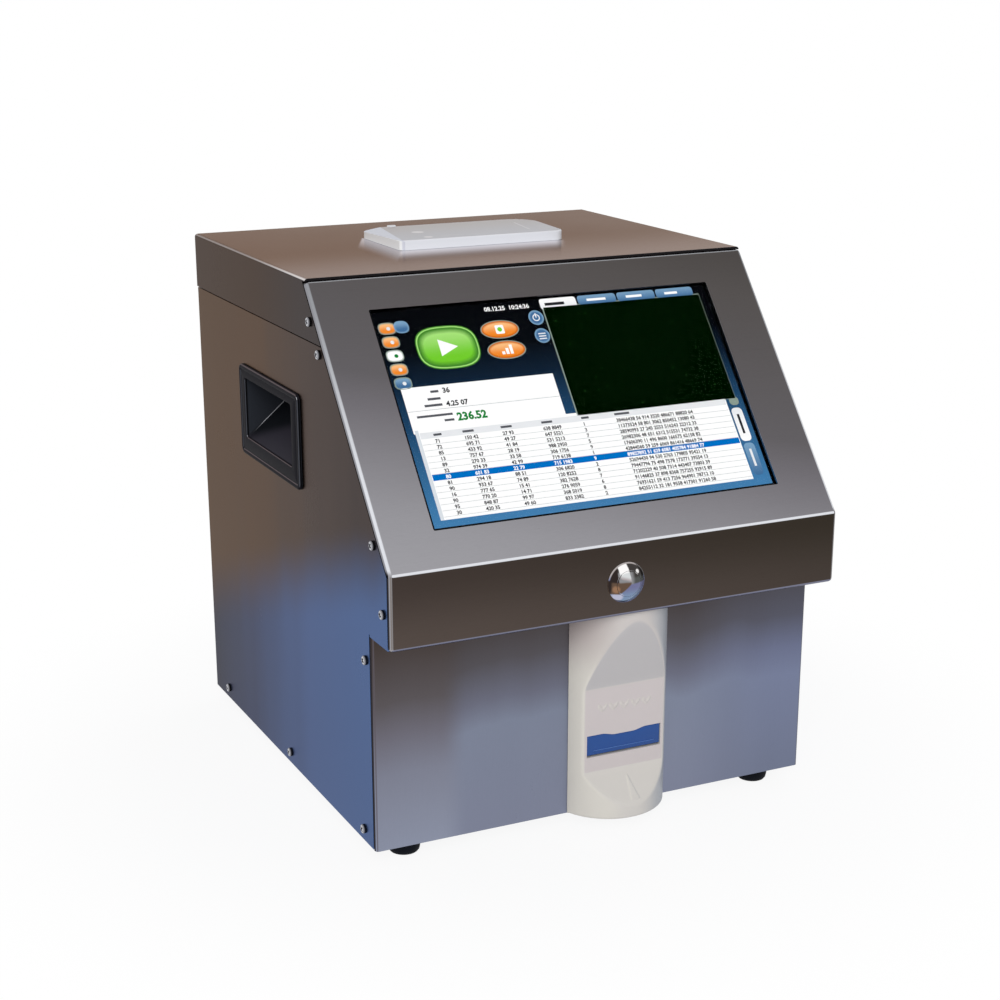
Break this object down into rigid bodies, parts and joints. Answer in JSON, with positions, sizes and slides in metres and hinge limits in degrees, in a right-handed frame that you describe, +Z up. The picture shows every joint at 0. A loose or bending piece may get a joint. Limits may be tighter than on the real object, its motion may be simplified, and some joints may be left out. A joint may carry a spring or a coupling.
{
  "type": "somatic cell counter",
  "caption": "Bench-top cell counter: bent steel casing with a sloped touch screen, push button, bulged chip entrance with a swinging flap, grip recesses and a reader on the lid.",
  "frame": {"origin": "on the bench, under the middle of the bounding box", "axes": "+X to the counter's right-hand side seen from the front, +Y from the front to the back, +Z up"},
  "size_m": [0.2942, 0.339, 0.3353],
  "materials": {
    "case_steel": "bent stainless sheet, brushed",
    "button_chrome": "polished",
    "screw_zinc": "plated, slightly worn",
    "inner_steel": "plated sheet",
    "alloy": "machined and anodised",
    "lens_brass": "turned",
    "spring_steel": "drawn wire",
    "handle_black": "fine grain",
    "module_beige": "smooth moulding",
    "shutter_blue": "smooth moulding",
    "reader_white": "fine grain",
    "foot_rubber": "matt",
    "screen_glass": "clear, flat",
    "screen_panel": "lit display",
    "circuit_board": "solder mask",
    "black_plastic": "moulded",
    "motor_black": "satin black",
    "supply_cage": "folded sheet"
  },
  "bodies": {
    "casing": {"left_handle_cup": "handle_black", "right_handle_cup": "handle_black", "left_side_panel": "case_steel", "right_side_panel": "case_steel", "base_tray": "case_steel", "front_left_foot": "foot_rubber", "front_right_foot": "foot_rubber", "rear_left_foot": "foot_rubber", "rear_right_foot": "foot_rubber", "top_lid": "case_steel", "screen_fascia": "case_steel", "button_bezel": "button_chrome", "button_nut": "screw_zinc", "button_switch": "black_plastic", "entrance_bezel": "module_beige", "shutter_pin": "screw_zinc", "shutter_spring": "spring_steel", "lower_front_panel": "case_steel", "left_lid_screw": "screw_zinc", "left_slope_top_screw": "screw_zinc", "left_slope_foot_screw": "screw_zinc", "left_chin_screw": "screw_zinc", "left_lower_panel_screw": "screw_zinc", "left_tray_front_screw": "screw_zinc", "left_tray_middle_screw": "screw_zinc", "left_tray_rear_screw": "screw_zinc", "touch_glass": "screen_glass", "lcd_panel": "screen_panel", "display_frame": "inner_steel", "panel_computer": "circuit_board", "stage_base": "alloy", "left_guide_rod": "button_chrome", "right_guide_rod": "button_chrome", "stage_motor": "motor_black", "optics_column": "alloy", "focus_motor": "motor_black", "filter_cube": "black_plastic", "led_source": "alloy", "camera_module": "black_plastic", "rear_panel": "case_steel", "fan_frame": "black_plastic", "power_inlet": "black_plastic", "rocker_frame": "black_plastic", "network_port": "inner_steel", "usb_ports": "inner_steel", "main_board": "circuit_board", "power_supply": "supply_cage", "reader_cover": "reader_white", "reader_base": "reader_white", "reader_board": "circuit_board"},
    "button": {"button_cap": "button_chrome"},
    "flap": {"entrance_shutter": "shutter_blue"},
    "chip_carrier": {"chip_carriage": "alloy"},
    "transport_screw": {"lead_screw": "lens_brass", "motor_coupler": "alloy"},
    "focus_slide_body": {"focus_carriage": "alloy", "objective_lens": "lens_brass"},
    "focus_screw_body": {"focus_screw": "screw_zinc"},
    "fan": {"fan_rotor": "black_plastic"},
    "switch_rocker": {"power_rocker": "black_plastic"}
  },
  "joints": [
    {"name": "button_press", "type": "slide", "parent": "casing", "child": "button", "axis": [0, 1, 0], "range_m": [0, 0.0025], "stiffness_N_per_m": 600, "springref_m": -0.0015},
    {"name": "flap_swing", "type": "hinge", "parent": "casing", "child": "flap", "pos_m": [0.012, -0.14132, 0.06], "axis": [1, 0, 0], "range_deg": [0, 85], "stiffness_Nm_per_rad": 0.002, "springref_deg": -17.19},
    {"name": "carriage_slide", "type": "slide", "parent": "casing", "child": "chip_carrier", "axis": [0, 1, 0], "range_m": [0, 0.08]},
    {"name": "transport_screw_spin", "type": "hinge", "parent": "casing", "child": "transport_screw", "pos_m": [0.012, -0.03672, 0.04], "axis": [0, 1, 0], "range_deg": [0, 2880]},
    {"name": "focus_slide", "type": "slide", "parent": "casing", "child": "focus_slide_body", "axis": [0, 0, 1], "range_m": [-0.003, 0.003]},
    {"name": "focus_screw_spin", "type": "hinge", "parent": "casing", "child": "focus_screw_body", "pos_m": [0.036, 0.00998, 0.11], "axis": [0, 0, 1], "range_deg": [-540, 540]},
    {"name": "fan_spin", "type": "hinge", "parent": "casing", "child": "fan", "pos_m": [-0.072, 0.15478, 0.242], "axis": [0, 1, 0], "continuous": true},
    {"name": "rocker_tilt", "type": "hinge", "parent": "casing", "child": "switch_rocker", "pos_m": [0.046, 0.16468, 0.082], "axis": [-1, 0, 0], "range_deg": [0, 16]}
  ],
  "couplings": [
    {"joint": "transport_screw_spin", "follows": "carriage_slide", "rad_per_m": 628.32},
    {"joint": "focus_screw_spin", "follows": "focus_slide", "rad_per_m": 3141.6}
  ]
}
